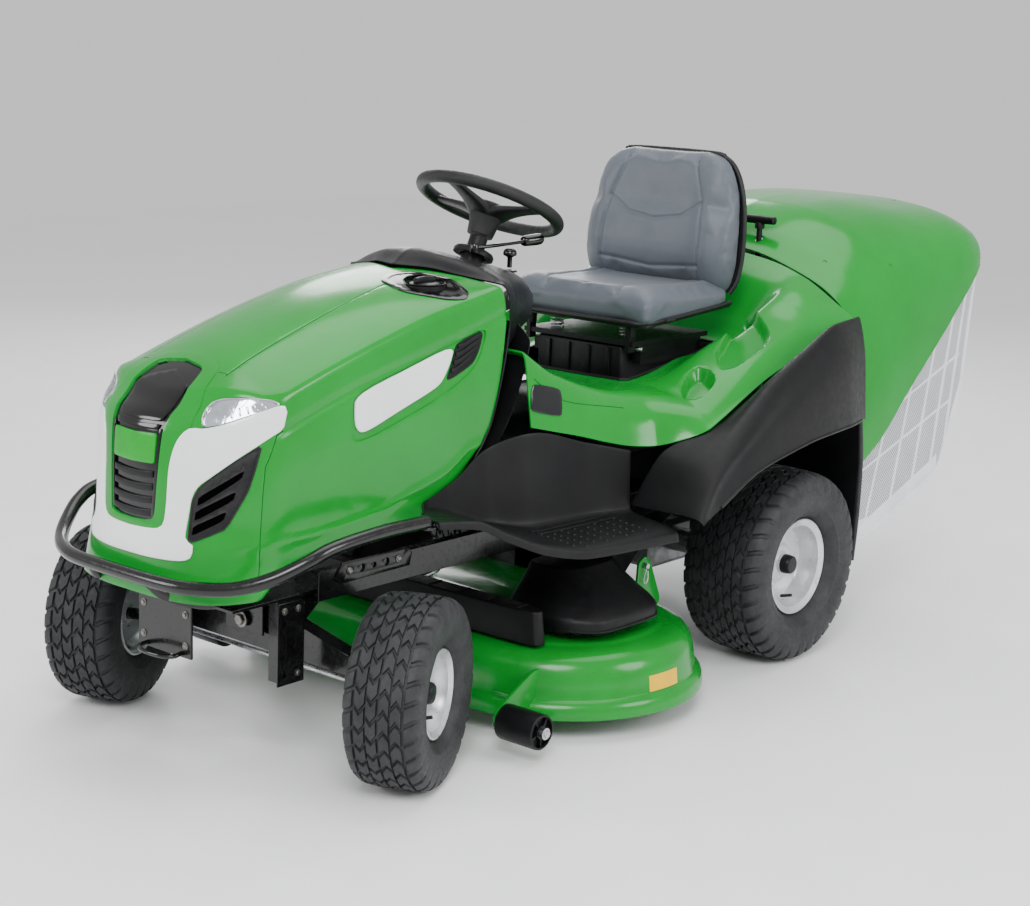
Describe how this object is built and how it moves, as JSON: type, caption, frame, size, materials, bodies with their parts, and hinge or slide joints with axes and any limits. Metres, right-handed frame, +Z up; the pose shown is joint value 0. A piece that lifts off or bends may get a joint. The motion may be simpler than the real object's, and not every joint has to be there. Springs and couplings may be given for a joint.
{
  "type": "riding lawn mower",
  "caption": "Ride-on lawn mower: steered front axle, tilting hood, mid cutting deck, seat, and a tipping rear grass catcher.",
  "frame": {"origin": "centre of the bounding box on the ground", "axes": "+Z up, -Y is the front, +X is the machine's left side"},
  "size_m": [1.174, 2.6011, 1.184],
  "materials": {
    "green_plastic": "glossy moulded",
    "deck_paint": "gloss powder coat",
    "black_plastic": "fine grained",
    "black_steel": "satin black",
    "white_plastic": "glossy moulded",
    "lamp_lens": "clear polycarbonate over a bright reflector",
    "tyre_rubber": "matt moulded rubber",
    "silver_paint": "silver paint",
    "bright_steel": "plain",
    "cast_aluminium": "as cast",
    "seat_vinyl": "grained grey vinyl",
    "basket_mesh": "perforated light grey panels",
    "pedal_rubber": "ribbed"
  },
  "bodies": {
    "chassis": {"frame_rail_left": "black_steel", "frame_rail_right": "black_steel", "front_crossmember": "black_steel", "bumper_bar": "black_steel", "rear_panel": "black_plastic", "engine_block": "cast_aluminium", "fan_housing": "black_plastic", "muffler": "cast_aluminium", "fuel_tank": "black_plastic", "battery": "black_plastic", "transaxle": "cast_aluminium", "steering_column": "black_steel", "dash_console": "black_plastic", "footboard_left": "black_plastic", "footboard_right": "black_plastic", "fender_left": "black_plastic", "fender_right": "black_plastic", "rear_body_shell": "green_plastic", "discharge_chute": "black_plastic"},
    "hood": {"hood_shell": "green_plastic", "front_trim": "white_plastic", "grille_insert": "black_plastic", "headlight_left": "lamp_lens", "headlight_right": "lamp_lens", "side_vent_left": "black_plastic", "side_vent_right": "black_plastic", "badge_plate_left": "white_plastic", "badge_plate_right": "white_plastic"},
    "fuel_cap": {"fuel_cap": "black_plastic"},
    "front_axle": {"front_axle": "black_steel"},
    "knuckle_left": {"knuckle_left": "black_steel"},
    "knuckle_right": {"knuckle_right": "black_steel"},
    "tie_rod": {"tie_rod": "bright_steel"},
    "wheel_front_left": {"tyre_front_left": "tyre_rubber", "rim_front_left": "silver_paint"},
    "wheel_front_right": {"tyre_front_right": "tyre_rubber", "rim_front_right": "silver_paint"},
    "wheel_rear_left": {"tyre_rear_left": "tyre_rubber", "rim_rear_left": "silver_paint"},
    "wheel_rear_right": {"tyre_rear_right": "tyre_rubber", "rim_rear_right": "silver_paint"},
    "steering_wheel": {"steering_wheel": "black_plastic"},
    "column_lever": {"column_lever": "black_plastic"},
    "choke_knob": {"choke_knob": "black_plastic"},
    "deck": {"deck_shell": "deck_paint", "deck_cover_front": "black_plastic", "deck_cover_left": "black_plastic", "deck_cover_right": "black_plastic"},
    "blade_left": {"blade_left": "bright_steel"},
    "blade_right": {"blade_right": "bright_steel"},
    "roller_left": {"roller_left": "black_plastic"},
    "roller_right": {"roller_right": "black_plastic"},
    "height_lever": {"height_lever": "black_steel"},
    "brake_pedal": {"brake_pedal": "pedal_rubber"},
    "drive_pedal": {"drive_pedal": "pedal_rubber"},
    "seat_carriage": {"seat_carriage": "black_steel"},
    "seat": {"seat_cushion": "seat_vinyl"},
    "catcher": {"catcher_lid": "green_plastic", "catcher_basket": "basket_mesh"},
    "catcher_handle": {"catcher_handle": "black_plastic"}
  },
  "joints": [
    {"name": "hood_hinge", "type": "hinge", "parent": "chassis", "child": "hood", "pos_m": [0, -1.2875, 0.42], "axis": [1, 0, 0], "range_deg": [0, 45]},
    {"name": "fuel_cap_turn", "type": "hinge", "parent": "chassis", "child": "fuel_cap", "pos_m": [0.13, -0.5985, 0.91], "axis": [0, 0, 1], "range_deg": [0, 90]},
    {"name": "axle_pivot", "type": "hinge", "parent": "chassis", "child": "front_axle", "pos_m": [0, -0.9415, 0.262], "axis": [0, 1, 0], "range_deg": [-6, 6]},
    {"name": "kingpin_left", "type": "hinge", "parent": "front_axle", "child": "knuckle_left", "pos_m": [0.3134, -0.9415, 0.2], "axis": [0, 0, 1], "range_deg": [-60, 12]},
    {"name": "kingpin_right", "type": "hinge", "parent": "front_axle", "child": "knuckle_right", "pos_m": [-0.3134, -0.9415, 0.2], "axis": [0, 0, 1], "range_deg": [-60, 12]},
    {"name": "tie_rod_end", "type": "hinge", "parent": "knuckle_left", "child": "tie_rod", "pos_m": [0.27273, -0.85015, 0.15], "axis": [0, 0, 1], "range_deg": [-12, 60]},
    {"name": "front_left_spin", "type": "hinge", "parent": "knuckle_left", "child": "wheel_front_left", "pos_m": [0.40019, -0.90286, 0.1905], "axis": [0.9135, 0.4067, 0], "continuous": true},
    {"name": "front_right_spin", "type": "hinge", "parent": "knuckle_right", "child": "wheel_front_right", "pos_m": [-0.40019, -0.98014, 0.1905], "axis": [0.9135, 0.4067, 0], "continuous": true},
    {"name": "rear_left_spin", "type": "hinge", "parent": "chassis", "child": "wheel_rear_left", "pos_m": [0.417, 0.3345, 0.2285], "axis": [1, 0, 0], "continuous": true},
    {"name": "rear_right_spin", "type": "hinge", "parent": "chassis", "child": "wheel_rear_right", "pos_m": [-0.417, 0.3345, 0.2285], "axis": [1, 0, 0], "continuous": true},
    {"name": "steering_turn", "type": "hinge", "parent": "chassis", "child": "steering_wheel", "pos_m": [0, -0.2495, 1.068], "axis": [0, 0.4226, 0.9063], "range_deg": [-260, 45]},
    {"name": "column_lever_turn", "type": "hinge", "parent": "chassis", "child": "column_lever", "pos_m": [0.045, -0.3485, 0.98], "axis": [0, 0.4226, 0.9063], "range_deg": [-12, 15]},
    {"name": "choke_pull", "type": "slide", "parent": "chassis", "child": "choke_knob", "axis": [0, 0, 1], "range_m": [0, 0.015]},
    {"name": "deck_lift", "type": "slide", "parent": "chassis", "child": "deck", "axis": [0, 0, 1], "range_m": [0, 0.045]},
    {"name": "blade_left_spin", "type": "hinge", "parent": "deck", "child": "blade_left", "pos_m": [0.265, -0.2735, 0.1], "axis": [0, 0, 1], "continuous": true},
    {"name": "blade_right_spin", "type": "hinge", "parent": "deck", "child": "blade_right", "pos_m": [-0.265, -0.2735, 0.1], "axis": [0, 0, 1], "continuous": true},
    {"name": "roller_left_spin", "type": "hinge", "parent": "deck", "child": "roller_left", "pos_m": [0.47, -0.6365, 0.067], "axis": [1, 0, 0], "continuous": true},
    {"name": "roller_right_spin", "type": "hinge", "parent": "deck", "child": "roller_right", "pos_m": [-0.47, -0.6365, 0.067], "axis": [1, 0, 0], "continuous": true},
    {"name": "height_lever_turn", "type": "hinge", "parent": "chassis", "child": "height_lever", "pos_m": [-0.336, 0.0865, 0.5], "axis": [-1, 0, 0], "range_deg": [0, 35]},
    {"name": "brake_pedal_press", "type": "hinge", "parent": "chassis", "child": "brake_pedal", "pos_m": [-0.3725, -0.5675, 0.509], "axis": [1, 0, 0], "range_deg": [0, 18], "stiffness_Nm_per_rad": 15, "springref_deg": -11.46},
    {"name": "drive_pedal_press", "type": "hinge", "parent": "chassis", "child": "drive_pedal", "pos_m": [-0.3225, -0.5675, 0.509], "axis": [1, 0, 0], "range_deg": [0, 18], "stiffness_Nm_per_rad": 15, "springref_deg": -11.46},
    {"name": "seat_slide", "type": "slide", "parent": "chassis", "child": "seat_carriage", "axis": [0, 1, 0], "range_m": [-0.045, 0.045]},
    {"name": "seat_tilt", "type": "hinge", "parent": "seat_carriage", "child": "seat", "pos_m": [0, 0.0915, 0.772], "axis": [1, 0, 0], "range_deg": [0, 60]},
    {"name": "catcher_tip", "type": "hinge", "parent": "chassis", "child": "catcher", "pos_m": [0, 0.6345, 0.925], "axis": [1, 0, 0], "range_deg": [0, 70]},
    {"name": "catcher_handle_pull", "type": "slide", "parent": "catcher", "child": "catcher_handle", "axis": [0, 0, 1], "range_m": [0, 0.2]}
  ],
  "couplings": [
    {"joint": "kingpin_left", "follows": "steering_turn", "ratio": 0.2222},
    {"joint": "kingpin_right", "follows": "steering_turn", "ratio": 0.2222},
    {"joint": "tie_rod_end", "follows": "steering_turn", "ratio": -0.2222},
    {"joint": "blade_right_spin", "follows": "blade_left_spin", "ratio": -1},
    {"joint": "height_lever_turn", "follows": "deck_lift", "rad_per_m": 13.5}
  ]
}
